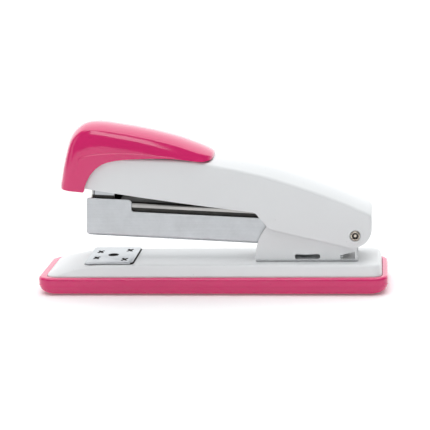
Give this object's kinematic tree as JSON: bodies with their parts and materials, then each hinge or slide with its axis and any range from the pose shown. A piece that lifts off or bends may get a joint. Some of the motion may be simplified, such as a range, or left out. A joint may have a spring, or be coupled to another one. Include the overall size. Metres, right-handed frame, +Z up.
{
  "type": "stapler",
  "caption": "Desk stapler: pressed steel lever with a moulded cap, spring-lifted magazine, loading frame and turning anvil on a long tray base.",
  "frame": {"origin": "centre of the footprint on the surface that the feet stand on", "axes": "+X from the nose to the rear pivot, +Y to the far side across the base, +Z up"},
  "size_m": [0.152, 0.038, 0.0739],
  "materials": {
    "pink_plastic": "gloss moulded plastic",
    "foot_rubber": "matt rubber",
    "white_paint": "gloss powder coat",
    "zinc_steel": "bright zinc plate",
    "grey_steel": "satin steel",
    "spring_steel": "drawn spring steel",
    "nickel": "nickel plate"
  },
  "bodies": {
    "base": {"base_sole": "pink_plastic", "foot_pads": "foot_rubber", "base_plate": "white_paint", "pivot_bracket": "white_paint", "bracket_rivets": "zinc_steel", "base_screws": "zinc_steel", "pivot_pin": "nickel", "pin_washers": "zinc_steel", "lift_spring": "spring_steel", "anvil_spring": "spring_steel"},
    "anvil_button": {"anvil_button": "zinc_steel"},
    "anvil": {"anvil_plate": "zinc_steel", "anvil_stem": "zinc_steel", "stem_clip": "zinc_steel"},
    "magazine": {"magazine_channel": "zinc_steel", "magazine_front": "zinc_steel", "staple_core": "zinc_steel"},
    "inner_frame": {"follower_frame": "grey_steel", "guide_rod": "nickel", "rod_anchor": "grey_steel", "follower_spring": "spring_steel"},
    "follower": {"follower": "grey_steel"},
    "handle": {"handle_shell": "white_paint", "handle_cap": "pink_plastic", "cap_ribs": "pink_plastic", "driver_blade": "spring_steel", "driver_bracket": "zinc_steel", "driver_rivets": "zinc_steel", "leaf_spring": "spring_steel"}
  },
  "joints": [
    {"name": "magazine_pivot", "type": "hinge", "parent": "base", "child": "magazine", "pos_m": [0.0621, 0, 0.0244], "axis": [0, 1, 0], "range_deg": [-5.2, 20], "stiffness_Nm_per_rad": 4, "springref_deg": 1.43, "deforming": ["lift_spring"]},
    {"name": "frame_pivot", "type": "hinge", "parent": "magazine", "child": "inner_frame", "pos_m": [0.0621, 0, 0.0244], "axis": [0, 1, 0], "range_deg": [0, 80]},
    {"name": "handle_pivot", "type": "hinge", "parent": "inner_frame", "child": "handle", "pos_m": [0.0621, 0, 0.0244], "axis": [0, 1, 0], "range_deg": [-4, 0], "stiffness_Nm_per_rad": 3, "springref_deg": 3.44, "deforming": ["leaf_spring"]},
    {"name": "follower_slide", "type": "slide", "parent": "inner_frame", "child": "follower", "axis": [0.9983, 0, -0.0576], "range_m": [0, 0.06], "stiffness_N_per_m": 30, "springref_m": -0.03, "deforming": ["follower_spring"]},
    {"name": "anvil_lift", "type": "slide", "parent": "base", "child": "anvil_button", "axis": [0, 0, 1], "range_m": [0, 0.002], "stiffness_N_per_m": 300, "springref_m": -0.002, "deforming": ["anvil_spring"]},
    {"name": "anvil_turn", "type": "hinge", "parent": "anvil_button", "child": "anvil", "pos_m": [-0.04485, 0, 0.0125], "axis": [0, 0, 1], "range_deg": [0, 180]}
  ]
}
